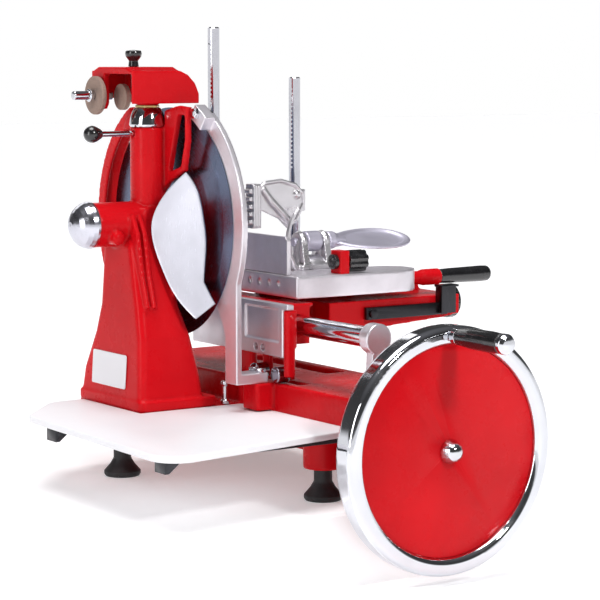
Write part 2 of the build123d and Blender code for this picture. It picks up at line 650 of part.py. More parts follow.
# ---------------------------------------------------------------- meat table
with BuildPart() as meat_table:
    with BuildSketch(Plane.XY.offset(TABLE_Z0 + 0.2)) as table_outline:
        with BuildLine():
            Polyline((TABLE_X0, TABLE_Y0), (TABLE_X1, TABLE_Y0), (TABLE_X1, TABLE_STEP_Y),
                     (TABLE_STEP_X, TABLE_STEP_Y), (TABLE_STEP_X, TABLE_Y1), (TABLE_X0, TABLE_Y1), close=True)
        make_face()
        fillet(table_outline.vertices().group_by(Axis.X)[-1].sort_by(Axis.Y)[0], 38)
        fillet(table_outline.vertices().filter_by_position(Axis.X, TABLE_X1 - 0.1, TABLE_X1 + 0.1).sort_by(Axis.Y)[-1],
               32)
        fillet(table_outline.vertices().filter_by_position(Axis.X, TABLE_STEP_X - 0.1, TABLE_STEP_X + 0.1), 13)
    extrude(amount=TABLE_Z1 - TABLE_Z0 - 0.2)
    block(TABLE_X0 + 6, TABLE_X1 - 36, TABLE_Y0 + 6, -94, TABLE_Z0, TABLE_Z1 - 7, Mode.SUBTRACT)
    block(TABLE_X0 + 6, TABLE_STEP_X - 6, -12, TABLE_Y1 - 6, TABLE_Z0, TABLE_Z1 - 7, Mode.SUBTRACT)
    for hole_y in (-49, -72, -95, -117):
        disc_x(TABLE_X0 - 2, TABLE_X0 + 5, hole_y, 252, 3.2, Mode.SUBTRACT)
    for post_x in (POST_XA, POST_XB):
        disc_z(TABLE_Z0, TABLE_Z1 + 5, post_x, POST_Y, POST_R - 1.95, Mode.SUBTRACT)
meat_table.part.label = "meat_table"
export_step(meat_table.part, "parts/meat_table.step")


with BuildPart() as fence_plate:
    plate_x(94, 100, [(-134, 264.1), (-22, 264.1), (-22, 311), (-28, 314), (-129, 314), (-134, 309)])
    block(100, 112, -120, -26, 264.1, 268)
fence_plate.part.label = "fence_plate"
export_step(fence_plate.part, "parts/fence_plate.step")


for post_name, post_x, post_top in (("post_left", POST_XA, 586), ("post_right", POST_XB, 518)):
    with BuildPart() as clamp_post:
        disc_z(TABLE_Z1 - 6, TABLE_Z1 + 1, post_x, POST_Y, POST_R - 2)
        disc_z(TABLE_Z1 + 0.1, post_top, post_x, POST_Y, POST_R)
        tooth_count = int((post_top - 400) / 6)
        for tooth in range(tooth_count):
            block(post_x - 12, post_x - 6.6, POST_Y - 10, POST_Y + 10, 392 + 6 * tooth, 394.5 + 6 * tooth,
                  Mode.SUBTRACT)
        chamfer(clamp_post.faces().sort_by(Axis.Z)[-1].edges(), 1.5)
    clamp_post.part.label = post_name
    export_step(clamp_post.part, "parts/" + post_name + ".step")


with BuildPart() as clamp_bridge:
    for post_x in (POST_XA, POST_XB):
        disc_z(332, 362, post_x, POST_Y, 15)
    block(POST_XA, POST_XB, 54, 66, 338, 356)
    block(136, 160, -60, 58, 340, 354)
    for post_x in (POST_XA, POST_XB):
        disc_z(330, 364, post_x, POST_Y, POST_R + 0.08, Mode.SUBTRACT)
clamp_bridge.part.label = "clamp_bridge"
export_step(clamp_bridge.part, "parts/clamp_bridge.step")


with BuildPart() as claw_head:
    round_block(78, 94, -76, -58, 322, 380, 4)
    plate_y(-68, -60, [(92, 348), (92, 374), (104, 382), (128, 384), (152, 378), (164, 366), (165, 350), (152, 327),
                       (142, 319), (128, 332)])
    for tine in range(5):
        block(74, 80, -75, -59, 328 + 10 * tine, 333 + 10 * tine)
    block(128, 165, -60.05, -40, 336, 358)
    block(136, 160, -60.1, -30, 339.9, 354.1, Mode.SUBTRACT)
claw_head.part.label = "claw_head"
export_step(claw_head.part, "parts/claw_head.step")


HINGE_Y, HINGE_Z = -60.0, 300.0
with BuildPart() as clamp_base:
    round_block(150, 212, -84, -36, TABLE_Z1 + 0.1, 270, 5)
    plate_x(158, 168, [(-80, 268), (-40, 268), (-48, 306), (-72, 306)])
    plate_x(194, 204, [(-80, 268), (-40, 268), (-48, 306), (-72, 306)])
    disc_x(158, 168, HINGE_Y, HINGE_Z, 13)
    disc_x(194, 204, HINGE_Y, HINGE_Z, 13)
    disc_x(150, 212, HINGE_Y, HINGE_Z, 6 + FIT, Mode.SUBTRACT)
clamp_base.part.label = "clamp_base"
export_step(clamp_base.part, "parts/clamp_base.step")


with BuildPart() as wing_lever:
    disc_x(152, 216, HINGE_Y, HINGE_Z, 6)
    disc_x(168.4, 193.6, HINGE_Y, HINGE_Z, 14)
    disc_x(204.4, 222, HINGE_Y, HINGE_Z, 12)
    with BuildSketch(Plane(origin=(279, HINGE_Y, HINGE_Z - 4), x_dir=(1, 0, 0), z_dir=(0, -0.36, 0.933))):
        Ellipse(65, 36)
    extrude(amount=5)
    disc_x(167, 168.4, HINGE_Y, HINGE_Z, 40, Mode.SUBTRACT)
    disc_x(193.6, 204.4, HINGE_Y, HINGE_Z, 60, Mode.SUBTRACT)
    disc_x(152, 216, HINGE_Y, HINGE_Z, 6)
wing_lever.part.label = "wing_lever"
export_step(wing_lever.part, "parts/wing_lever.step")


KNOB_Y, KNOB_Z = -145.0, 279.5
with BuildPart() as lock_knob_bracket:
    round_block(163, 178, KNOB_Y - 13, KNOB_Y + 13, TABLE_Z1 + 0.1, 294, 4)
    disc_x(160, 181, KNOB_Y, KNOB_Z, 5 + FIT, Mode.SUBTRACT)
lock_knob_bracket.part.label = "lock_knob_bracket"
export_step(lock_knob_bracket.part, "parts/lock_knob_bracket.step")


with BuildPart() as lock_knob:
    disc_x(155, 190, KNOB_Y, KNOB_Z, 5)
    disc_x(157, 162.6, KNOB_Y, KNOB_Z, 10)
    disc_x(178.4, 207, KNOB_Y, KNOB_Z, 14.6)
    with Locations(Plane.YZ.offset(193).shift_origin((193, KNOB_Y, KNOB_Z))):
        with PolarLocations(17.8, 8):
            Cylinder(5, 40, mode=Mode.SUBTRACT)
lock_knob.part.label = "lock_knob"
export_step(lock_knob.part, "parts/lock_knob.step")


FEED_Y, FEED_Z = -118.0, 248.0
with BuildPart() as feed_handle_socket:
    turned_x(FEED_Y, FEED_Z, [(300.5, 0), (300.5, 9), (318, 9), (326, 11), (352, 11), (352, 0)])
    disc_x(352, 430, FEED_Y, FEED_Z, 4)
feed_handle_socket.part.label = "feed_handle_socket"
export_step(feed_handle_socket.part, "parts/feed_handle_socket.step")


with BuildPart() as feed_handle_grip:
    turned_x(FEED_Y, FEED_Z, [(352.3, 4 + FIT), (352.3, 9.5), (370, 10.2), (425, 11), (436, 10.5), (440, 7),
                              (440, 0), (430.3, 0), (430.3, 4 + FIT)])
feed_handle_grip.part.label = "feed_handle_grip"
export_step(feed_handle_grip.part, "parts/feed_handle_grip.step")


# ---------------------------------------------------------------- sharpener
STONE_Y, STONE_Z = 44.0, 496.0
KNOB_AT = (-53.0, 4.0)
with BuildPart() as sharpener_hood:
    plate_y(-40, 68, [(-80, 486), (20, 486), (20, 498), (14, 512), (3, 523), (-8, 528), (-80, 528)])
    plate_x(-80, -8, [(-39, 527), (-22, 533), (50, 533), (67, 527)])
    plate_y(-36, 64, [(-90, 480), (16, 480), (16, 497), (10, 509), (0, 519), (-10, 524), (-90, 524)],
            Mode.SUBTRACT)
    # scalloped lower edge of the rear wall
    plate_y(63, 70, [(-66, 480), (-66, 489), (-61, 492), (-48, 492), (-38, 488), (-34, 480)], Mode.SUBTRACT)
    # middle block and the pivot pin that stands in the neck
    block(NECK_X - 12, NECK_X + 12, -12, 12, 484, 525)
    disc_z(430, 485, NECK_X, 0, 12)
    # rear-left arm that carries the stone spindle
    plate_x(-80, -72, [(34, 526), (34, 486), (40, 478), (55, 478), (66, 486), (66, 526)])
    disc_x(-100, -70, STONE_Y, STONE_Z, 6 + FIT, Mode.SUBTRACT)
    # seat of the second stone
    block(-30, -24, 10, 66, 486, 525)
    disc_x(-35, -20, 24, 494, 4 + FIT, Mode.SUBTRACT)
    disc_z(500, 540, KNOB_AT[0], KNOB_AT[1], 4 + FIT, Mode.SUBTRACT)
sharpener_hood.part.label = "sharpener_hood"
export_step(sharpener_hood.part, "parts/sharpener_hood.step")


with BuildPart() as sharpener_knob:
    turned_z(KNOB_AT[0], KNOB_AT[1], [(0, 505), (4, 505), (4, 533.3), (7, 533.3), (6, 541), (10, 546),
                                      (11, 550), (10, 554), (0, 555)])
sharpener_knob.part.label = "sharpener_knob"
export_step(sharpener_knob.part, "parts/sharpener_knob.step")


with BuildPart() as grinding_stone:
    turned_x(STONE_Y, STONE_Z, [(-90.5, 6 + FIT), (-90.5, 24), (-89.5, 25), (-85, 25), (-84, 24), (-84, 6 + FIT)])
grinding_stone.part.label = "grinding_stone"
export_step(grinding_stone.part, "parts/grinding_stone.step")


with BuildPart() as stone_spindle:
    turned_x(STONE_Y, STONE_Z, [(-121, 0), (-121, 5), (-119.5, 6), (-64, 6), (-64, 0)])
    disc_x(-98, -96, STONE_Y, STONE_Z, 8.5)
stone_spindle.part.label = "stone_spindle"
export_step(stone_spindle.part, "parts/stone_spindle.step")


with BuildPart() as deburring_stone:
    disc_x(-62, -55, 24, 494, 17)
    disc_x(-55, -16, 24, 494, 4)
    disc_x(-23.6, -20, 24, 494, 7)
deburring_stone.part.label = "deburring_stone"
export_step(deburring_stone.part, "parts/deburring_stone.step")
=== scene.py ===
"""Looks of a hand-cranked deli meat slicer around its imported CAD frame. Metres, +Z up."""
import json
import math

import bmesh
import bpy
from mathutils import Matrix, Vector


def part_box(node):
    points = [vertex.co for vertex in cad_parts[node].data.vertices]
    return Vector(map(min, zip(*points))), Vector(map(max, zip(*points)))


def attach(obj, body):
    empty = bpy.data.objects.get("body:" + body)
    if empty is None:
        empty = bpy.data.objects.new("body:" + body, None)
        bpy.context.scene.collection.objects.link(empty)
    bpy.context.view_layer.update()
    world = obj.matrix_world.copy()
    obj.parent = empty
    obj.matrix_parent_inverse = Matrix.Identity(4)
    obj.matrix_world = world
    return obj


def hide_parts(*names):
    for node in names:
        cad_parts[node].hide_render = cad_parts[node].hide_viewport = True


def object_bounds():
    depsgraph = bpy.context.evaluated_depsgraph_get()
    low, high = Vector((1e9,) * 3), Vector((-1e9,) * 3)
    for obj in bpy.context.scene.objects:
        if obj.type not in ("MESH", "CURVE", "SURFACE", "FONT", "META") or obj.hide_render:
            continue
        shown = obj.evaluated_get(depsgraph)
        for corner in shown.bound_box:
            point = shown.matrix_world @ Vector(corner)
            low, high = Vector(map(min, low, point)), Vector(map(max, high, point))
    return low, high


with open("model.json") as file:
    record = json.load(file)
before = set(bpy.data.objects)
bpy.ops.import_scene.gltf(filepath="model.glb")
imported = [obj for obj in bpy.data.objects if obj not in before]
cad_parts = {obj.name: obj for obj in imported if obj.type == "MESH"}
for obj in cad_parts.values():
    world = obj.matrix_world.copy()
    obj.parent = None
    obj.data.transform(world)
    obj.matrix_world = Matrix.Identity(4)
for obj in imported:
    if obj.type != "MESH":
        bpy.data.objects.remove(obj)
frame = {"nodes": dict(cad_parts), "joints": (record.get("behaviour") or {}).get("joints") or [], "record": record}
cad_low, cad_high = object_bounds()
NODES = frame["nodes"]
MM = 0.001
TAU = 2 * math.pi

# ---------------------------------------------------------------- places read from the frame
BLADE_LOW, BLADE_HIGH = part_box("blade")
BLADE_C = (BLADE_LOW + BLADE_HIGH) / 2
RIM_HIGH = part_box("flywheel_rim")[1]
CLAW_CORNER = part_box("claw_head")[0]
CLAMP_HINGE = next(Vector(joint["pos_m"]) for joint in frame["joints"] if joint["name"] == "wing_lever_lift")
AXES = {"x": Vector((1, 0, 0)), "y": Vector((0, 1, 0)), "z": Vector((0, 0, 1))}


# ---------------------------------------------------------------- shader helpers
class Shader:
    """A material's node tree, with short calls for the nodes that the finishes use."""

    def __init__(self, name, colour, metallic, roughness):
        self.material = bpy.data.materials.new(name)
        self.material.use_nodes = True
        self.tree = self.material.node_tree
        self.surface = self.tree.nodes["Principled BSDF"]
        self.surface.inputs["Base Color"].default_value = (*colour, 1)
        self.surface.inputs["Metallic"].default_value = metallic
        self.surface.inputs["Roughness"].default_value = roughness
        self.where = self.add("ShaderNodeTexCoord").outputs["Object"]
        self.normal = None

    def add(self, kind, **settings):
        node = self.tree.nodes.new(kind)
        for key, value in settings.items():
            setattr(node, key, value)
        return node

    def put(self, socket, value):
        """A number, colour or another node's output goes into a socket."""
        if isinstance(value, bpy.types.NodeSocket):
            self.tree.links.new(value, socket)
        else:
            socket.default_value = value

    def maths(self, operation, first, second=0.0):
        node = self.add("ShaderNodeMath", operation=operation)
        self.put(node.inputs[0], first)
        self.put(node.inputs[1], second)
        return node.outputs[0]

    def stretched(self, factors):
        """The surface's own coordinates, scaled along X, Y and Z."""
        node = self.add("ShaderNodeVectorMath", operation="MULTIPLY")
        self.put(node.inputs[0], self.where)
        node.inputs[1].default_value = factors
        return node.outputs[0]

    def rings(self, axis, centre):
        """Coordinates that run out from an axis and along it, for turned and ground faces."""
        shifted = self.add("ShaderNodeVectorMath", operation="SUBTRACT")
        self.put(shifted.inputs[0], self.where)
        shifted.inputs[1].default_value = centre
        flat = self.add("ShaderNodeVectorMath", operation="MULTIPLY")
        self.put(flat.inputs[0], shifted.outputs[0])
        flat.inputs[1].default_value = Vector((1, 1, 1)) - AXES[axis]
        length = self.add("ShaderNodeVectorMath", operation="LENGTH")
        self.put(length.inputs[0], flat.outputs[0])
        along = self.add("ShaderNodeVectorMath", operation="DOT_PRODUCT")
        self.put(along.inputs[0], shifted.outputs[0])
        along.inputs[1].default_value = AXES[axis]
        joined = self.add("ShaderNodeCombineXYZ")
        self.put(joined.inputs[0], length.outputs["Value"])
        self.put(joined.inputs[1], along.outputs["Value"])
        return joined.outputs[0]

    def noise(self, scale, detail=2.0, rough=0.5, vector=None):
        node = self.add("ShaderNodeTexNoise")
        self.put(node.inputs["Vector"], vector or self.where)
        node.inputs["Scale"].default_value = scale
        node.inputs["Detail"].default_value = detail
        node.inputs["Roughness"].default_value = rough
        return node.outputs["Fac"]

    def cells(self, scale):
        node = self.add("ShaderNodeTexVoronoi")
        self.put(node.inputs["Vector"], self.where)
        node.inputs["Scale"].default_value = scale
        return node.outputs["Distance"]

    def spread(self, value, low, high, new_low, new_high):
        """A value's range mapped onto another, clamped."""
        node = self.add("ShaderNodeMapRange")
        self.put(node.inputs["Value"], value)
        for name, number in zip(("From Min", "From Max", "To Min", "To Max"), (low, high, new_low, new_high)):
            node.inputs[name].default_value = number
        return node.outputs["Result"]

    def blend(self, factor, first, second):
        """Two colours mixed."""
        node = self.add("ShaderNodeMix", data_type="RGBA")
        self.put(node.inputs["Factor"], factor)
        for socket, colour in ((node.inputs[6], first), (node.inputs[7], second)):
            self.put(socket, colour if isinstance(colour, bpy.types.NodeSocket) else (*colour, 1))
        return node.outputs[2]

    def edges(self, low, high):
        """0 on flat and hollow places, 1 on outer edges of finely meshed castings."""
        return self.spread(self.add("ShaderNodeNewGeometry").outputs["Pointiness"], low, high, 0, 1)

    def hollows(self, low, high):
        """1 in the inner corners of finely meshed castings, 0 elsewhere."""
        return self.spread(self.add("ShaderNodeNewGeometry").outputs["Pointiness"], low, high, 1, 0)

    def bump(self, height, distance, strength=1.0):
        node = self.add("ShaderNodeBump")
        self.put(node.inputs["Height"], height)
        node.inputs["Distance"].default_value = distance
        node.inputs["Strength"].default_value = strength
        if self.normal:
            self.put(node.inputs["Normal"], self.normal)
        self.normal = node.outputs["Normal"]

    def done(self, colour=None, roughness=None, **sockets):
        if colour is not None:
            self.put(self.surface.inputs["Base Color"], colour)
        if roughness is not None:
            self.put(self.surface.inputs["Roughness"], roughness)
        if self.normal:
            self.put(self.surface.inputs["Normal"], self.normal)
        for name, value in sockets.items():
            self.surface.inputs[name.replace("_", " ")].default_value = value
        return self.material


# ---------------------------------------------------------------- finishes
def enamel(name, colour, deep, aged_with_painted_light=False, gloss=(0.22, 0.38)):
    """Thick gloss paint: slow colour drift and orange peel; on castings also grime with painted shade in the
    hollows, and rubbed edges with a painted highlight.
    """
    s = Shader(name, colour, 0.0, gloss[0])
    paint = s.blend(s.spread(s.noise(7, 3), 0.35, 0.7, 0, 1), colour, deep)
    if aged_with_painted_light:
        # Painted shade: the hollow mask darkens the paint towards a dark red, partly grime and partly the shade
        # that falls in inner corners.
        grime_and_painted_shade = s.maths("MULTIPLY", s.hollows(0.43, 0.5), s.spread(s.noise(40, 4), 0.3, 0.7, 0.25, 0.8))
        paint = s.blend(grime_and_painted_shade, paint, tuple(0.25 * c for c in deep))
        # Painted highlight: outer edges are lightened towards a pale pink, partly rubbed paint and partly the
        # highlight that edges catch.
        rubbed_and_painted_highlight = s.maths("MULTIPLY", s.edges(0.57, 0.66), s.spread(s.noise(180, 4), 0.5, 0.64, 0, 0.45))
        paint = s.blend(rubbed_and_painted_highlight, paint, tuple(min(1.0, 0.12 + c) for c in deep))
    s.bump(s.noise(70, 2), 0.0004, 0.2)
    s.bump(s.noise(800, 2), 0.00006, 0.3)
    level = s.spread(s.noise(30, 4, 0.65), 0.3, 0.75, *gloss)
    return s.done(paint, level, Coat_Weight=0.04, Coat_Roughness=0.06, Specular_IOR_Level=0.09)


def chrome(name, colour=(0.68, 0.69, 0.73), rough=0.05):
    """Plated and polished: a trace of waviness, finger smears and hairlines."""
    s = Shader(name, colour, 1.0, rough)
    smear = s.spread(s.noise(28, 5, 0.7), 0.45, 0.75, rough, rough + 0.12)
    hairlines = s.noise(160, 3, 0.6, s.stretched((1, 9, 1)))
    s.bump(s.noise(26, 1), 0.0007, 0.12)
    s.bump(hairlines, 0.00003, 0.25)
    tint = s.blend(s.spread(s.noise(12, 2), 0.4, 0.7, 0, 1), colour, tuple(0.88 * c for c in colour))
    return s.done(tint, smear)


def turned_metal(name, colour, axis, centre, rough, lines=2600, depth=0.00003):
    """Lathe-turned or ground metal, its fine lines running round an axis."""
    s = Shader(name, colour, 1.0, rough)
    round_lines = s.noise(lines, 2, 0.6, s.rings(axis, centre))
    smear = s.noise(24, 5, 0.7)
    level = s.maths("ADD", s.spread(round_lines, 0.3, 0.7, rough, rough + 0.08),
                    s.spread(smear, 0.5, 0.8, 0, 0.12))
    s.bump(round_lines, depth, 0.5)
    tint = s.blend(s.spread(smear, 0.4, 0.8, 0, 1), colour, tuple(0.8 * c for c in colour))
    return s.done(tint, level)


def cast_metal(name, colour, rough=0.36, grain=420, depth=0.0001, hollow_darkening=0.0, metal=0.78):
    """Rubbed-down aluminium casting: fine sand grain, dull patches and dark hollows."""
    s = Shader(name, colour, metal, rough)
    patches = s.noise(16, 4, 0.6)
    tint = s.blend(s.spread(patches, 0.35, 0.7, 0, 1), colour, tuple(0.84 * c for c in colour))
    if hollow_darkening:
        # Darker in the hollows: the pointiness mask blends the tint towards near black.
        hollow_dark_mask = s.maths("MULTIPLY", s.hollows(0.43, 0.5), s.spread(s.noise(70, 4), 0.3, 0.7, 0.4 * hollow_darkening, hollow_darkening))
        tint = s.blend(hollow_dark_mask, tint, (0.085, 0.08, 0.07))
    s.bump(s.noise(grain, 3, 0.6), depth, 0.5)
    s.bump(s.noise(60, 2), 0.0003, 0.2)
    level = s.spread(patches, 0.3, 0.75, rough - 0.06, rough + 0.12)
    return s.done(tint, level)


def brushed(name, colour, rough, along=(1, 1, 14)):
    """Steel brushed one way, with the strokes short across and long along."""
    s = Shader(name, colour, 1.0, rough)
    strokes = s.noise(900, 3, 0.6, s.stretched(tuple(1 / a for a in along)))
    cloud = s.noise(14, 4, 0.6)
    s.bump(strokes, 0.00003, 0.5)
    level = s.maths("ADD", s.spread(strokes, 0.3, 0.7, rough - 0.04, rough + 0.06),
                    s.spread(cloud, 0.5, 0.8, 0, 0.1))
    tint = s.blend(s.spread(cloud, 0.4, 0.75, 0, 1), colour, tuple(0.84 * c for c in colour))
    return s.done(tint, level)


def moulded(name, colour, rough, grain=700, depth=0.00005, coat=0.0):
    """Bakelite, plastic or rubber with handling wear."""
    s = Shader(name, colour, 0.0, rough)
    wear = s.noise(45, 5, 0.7)
    tint = s.blend(s.spread(wear, 0.5, 0.8, 0, 1), colour, tuple(min(1.0, 2.2 * c + 0.01) for c in colour))
    s.bump(s.noise(grain, 2), depth, 0.5)
    return s.done(tint, s.spread(wear, 0.35, 0.75, rough, rough + 0.2), Coat_Weight=coat, Coat_Roughness=0.12)


def abrasive(name, colour, dark):
    """Bonded grinding stone: packed grains, glints and glazed patches."""
    s = Shader(name, colour, 0.0, 0.85)
    grains = s.cells(1500)
    clouds = s.noise(60, 5, 0.7)
    s.bump(grains, 0.0003, 0.9)
    s.bump(s.noise(500, 4, 0.7), 0.0003, 0.7)
    tint = s.blend(s.spread(grains, 0.1, 0.7, 0, 1), colour, dark)
    tint = s.blend(s.spread(clouds, 0.5, 0.75, 0, 0.6), tint, (0.16, 0.12, 0.1))
    return s.done(tint, s.spread(clouds, 0.4, 0.8, 0.9, 0.6))


RED, DEEP_RED = (0.62, 0.006, 0.011), (0.5, 0.003, 0.007)
ALUMINIUM = (0.8, 0.765, 0.815)
FINISHES = {
    "red_enamel": enamel("red_enamel", RED, DEEP_RED),
    "white_enamel": enamel("white_enamel", (0.83, 0.825, 0.85), (0.8, 0.795, 0.825), gloss=(0.42, 0.52)),
    "black_rubber": moulded("black_rubber", (0.012, 0.012, 0.013), 0.5, 500, 0.0002),
    "black_bakelite": moulded("black_bakelite", (0.009, 0.009, 0.01), 0.16, 300, 0.00003, 0.6),
    "chrome": chrome("chrome"),
    "polished_steel": brushed("polished_steel", (0.8, 0.8, 0.83), 0.16, (1, 12, 1)),
    "cast_aluminium": cast_metal("cast_aluminium", ALUMINIUM),
    "toothed_steel": cast_metal("toothed_steel", (0.5, 0.47, 0.53), 0.24, 700, 0.00006, metal=1.0),
    "dark_steel": brushed("dark_steel", (0.05, 0.05, 0.055), 0.3),
    "machine_steel": brushed("machine_steel", (0.5, 0.5, 0.53), 0.25, (12, 1, 1)),
    "bronze": turned_metal("bronze", (0.62, 0.47, 0.2), "x", BLADE_C, 0.25),
    "grinding_stone": abrasive("grinding_stone", (0.42, 0.3, 0.24), (0.24, 0.16, 0.13)),
}
# Red enamel for the castings, with painted shade in the hollows and a painted highlight on the outer edges.
AGED_RED_WITH_PAINTED_LIGHT = enamel("aged_red_enamel_painted_light", RED, DEEP_RED, aged_with_painted_light=True)
# Worn casting that is made strongly darker in its hollows.
DARK_CAST = cast_metal("worn_casting", (0.7, 0.68, 0.71), 0.3, 420, 0.00014, hollow_darkening=0.95)
LEAF_CAST = cast_metal("thumb_casting", (0.74, 0.71, 0.84), 0.42, 380, 0.0001, hollow_darkening=0.3)
OWN_FINISH = {
    "blade": turned_metal("ground_blade", (0.15, 0.18, 0.27), "x", BLADE_C, 0.2, 3200, 0.00002),
    "slice_deflector": brushed("satin_deflector", (0.44, 0.44, 0.49), 0.3, (1, 1, 14)),
    "dome_cap": turned_metal("turned_dome", (0.62, 0.62, 0.69), "x", BLADE_C, 0.16, 900),
    "guide_roller_front": turned_metal("roller_steel", (0.33, 0.31, 0.35), "x", BLADE_C, 0.14),
    "handle_stud": chrome("bright_stud"),
    "post_left": brushed("ground_post", (0.62, 0.62, 0.67), 0.09, (1, 1, 40)),
}
OWN_FINISH["guide_roller_rear"] = OWN_FINISH["guide_roller_front"]
OWN_FINISH["post_right"] = OWN_FINISH["post_left"]

SLOT_OF = {row["node"]: row["material_slot"] for row in frame["record"]["subparts"]}
BODY_OF = {node: body for body, nodes in frame["record"]["behaviour"]["bodies"].items() for node in nodes}


def finish_of(node):
    return OWN_FINISH.get(node, FINISHES[SLOT_OF[node]])


for name, node in NODES.items():
    node.data.materials.clear()
    node.data.materials.append(finish_of(name))


# ---------------------------------------------------------------- mesh helpers
BEVEL_FROM, SHARP_FROM, FLAT_WITHIN = (math.radians(degrees) for degrees in (32, 40, 0.6))
BROAD = 0.7
TRIANGLE_LIMIT = 180000


def copied(node):
    """A CAD node's mesh, its seams closed."""
    bm = bmesh.new()
    bm.from_mesh(NODES[node].data)
    bmesh.ops.remove_doubles(bm, verts=bm.verts, dist=0.00001)
    return bm


def shaped(name, bm, modifiers):
    """The mesh that a stack of (type, settings) modifiers makes of bm."""
    mesh = bpy.data.meshes.new(name)
    bm.to_mesh(mesh)
    bm.free()
    rough = bpy.data.objects.new(name, mesh)
    bpy.context.scene.collection.objects.link(rough)
    for kind, settings in modifiers:
        modifier = rough.modifiers.new(kind, kind)
        for key, value in settings.items():
            setattr(modifier, key, value)
    made = bpy.data.meshes.new_from_object(rough.evaluated_get(bpy.context.evaluated_depsgraph_get()))
    bpy.data.objects.remove(rough)
    made.name = name
    return made


def piece(name, mesh, material, node, replaced=()):
    """A finished piece on the body of a CAD node; it stands for the nodes in replaced."""
    obj = bpy.data.objects.new(name, mesh)
    bpy.context.scene.collection.objects.link(obj)
    mesh.materials.clear()
    mesh.materials.append(material)
    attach(obj, BODY_OF[node])
    if replaced:
        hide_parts(*replaced)
    return obj


def softened(node, width, rim=None):
    """The node with its sharp edges rounded; rim = (width, depth) also sinks its largest faces."""
    bm = copied(node)
    bmesh.ops.dissolve_limit(bm, angle_limit=FLAT_WITHIN, verts=bm.verts, edges=bm.edges)
    if rim:
        largest = max(face.calc_area() for face in bm.faces)
        broad = [face for face in bm.faces if face.calc_area() > BROAD * largest]
        bmesh.ops.inset_individual(bm, faces=broad, thickness=rim[0] * MM, depth=-rim[1] * MM)
    mesh = shaped(node + "_finished", bm, [
        ("BEVEL", {"width": width * MM, "segments": 3, "limit_method": "ANGLE", "angle_limit": BEVEL_FROM}),
        ("WEIGHTED_NORMAL", {"keep_sharp": False}),
    ])
    for face in mesh.polygons:
        face.use_smooth = True
    mesh.set_sharp_from_angle(angle=SHARP_FROM)
    return piece(node + "_finished", mesh, finish_of(node), node, [node])


def cast(node, voxel, rounds, material=None, extras=None, keep_cad=True):
    """The node as one casting: extra shapes are fused on and all edges are rounded."""
    bm = copied(node) if keep_cad else bmesh.new()
    if extras:
        extras(bm)
    mesh = shaped(node + "_cast", bm, [
        ("REMESH", {"mode": "VOXEL", "voxel_size": voxel * MM}),
        ("SMOOTH", {"factor": 0.5, "iterations": rounds}),
    ])
    count = sum(len(face.vertices) - 2 for face in mesh.polygons)
    if count > TRIANGLE_LIMIT:
        bm = bmesh.new()
        bm.from_mesh(mesh)
        mesh = shaped(node + "_cast", bm, [("DECIMATE", {"ratio": TRIANGLE_LIMIT / count})])
    for face in mesh.polygons:
        face.use_smooth = True
    return piece(node + "_cast", mesh, material or finish_of(node), node, [node])


def tube(bm, origin, path, radii, sides=20):
    """A closed round bar along a path of points, in mm from the origin."""
    points = [origin + Vector(p) * MM for p in path]
    rings = []
    for i, point in enumerate(points):
        ahead = (points[min(i + 1, len(points) - 1)] - points[max(i - 1, 0)]).normalized()
        across = ahead.orthogonal().normalized()
        if rings:
            across = (last_across - ahead * last_across.dot(ahead)).normalized()
        last_across = across
        other = ahead.cross(across)
        radius = radii[i] * MM
        turns = [TAU * k / sides for k in range(sides)]
        rings.append([bm.verts.new(point + radius * (math.cos(turn) * across + math.sin(turn) * other))
                      for turn in turns])
    for first, second in zip(rings, rings[1:]):
        for k in range(sides):
            bm.faces.new((first[k], first[(k + 1) % sides], second[(k + 1) % sides], second[k]))
    bm.faces.new(list(reversed(rings[0])))
    bm.faces.new(rings[-1])


def ball(bm, origin, centre, radii):
    """A closed ellipsoid, in mm from the origin."""
    place = Matrix.Translation(origin + Vector(centre) * MM) @ Matrix.Diagonal((*(r * MM for r in radii), 1))
    bmesh.ops.create_uvsphere(bm, u_segments=28, v_segments=16, radius=1, matrix=place)


def dished_leaf(bm, origin, centre, normal, half_length, half_width, thick):
    """A thumb plate lying along X: narrow at its root, dished, with a raised rim. In mm from the origin."""
    up = Vector(normal).normalized()
    along = Vector((1, 0, 0))
    across = up.cross(along)
    steps, sides = 14, 72
    tops, bottoms = [], []
    for ring in range(1, steps + 1):
        out = ring / steps
        rise = min(1.0, max(0.0, (out - 0.74) / 0.16))
        top = thick * (0.42 + 0.58 * rise * rise * (3 - 2 * rise)) - thick * 0.3 * max(0.0, out - 0.93) / 0.07
        bottom = thick * 0.25 * max(0.0, out - 0.8) / 0.2
        for rings, height in ((tops, top), (bottoms, bottom)):
            row = []
            for k in range(sides):
                turn = TAU * k / sides
                x = half_length * out * math.cos(turn)
                y = half_width * out * math.sin(turn) * (0.86 + 0.14 * math.cos(turn))
                place = Vector(centre) + along * x + across * y + up * height
                row.append(bm.verts.new(origin + place * MM))
            rings.append(row)
    for rings, level, flip in ((tops, 0.42 * thick, False), (bottoms, 0, True)):
        middle = bm.verts.new(origin + (Vector(centre) + up * level) * MM)
        for k in range(sides):
            corner = (middle, rings[0][k], rings[0][(k + 1) % sides])
            bm.faces.new(tuple(reversed(corner)) if flip else corner)
        for first, second in zip(rings, rings[1:]):
            for k in range(sides):
                quad = (first[k], second[k], second[(k + 1) % sides], first[(k + 1) % sides])
                bm.faces.new(tuple(reversed(quad)) if flip else quad)
    for k in range(sides):
        bm.faces.new((tops[-1][k], bottoms[-1][k], bottoms[-1][(k + 1) % sides], tops[-1][(k + 1) % sides]))


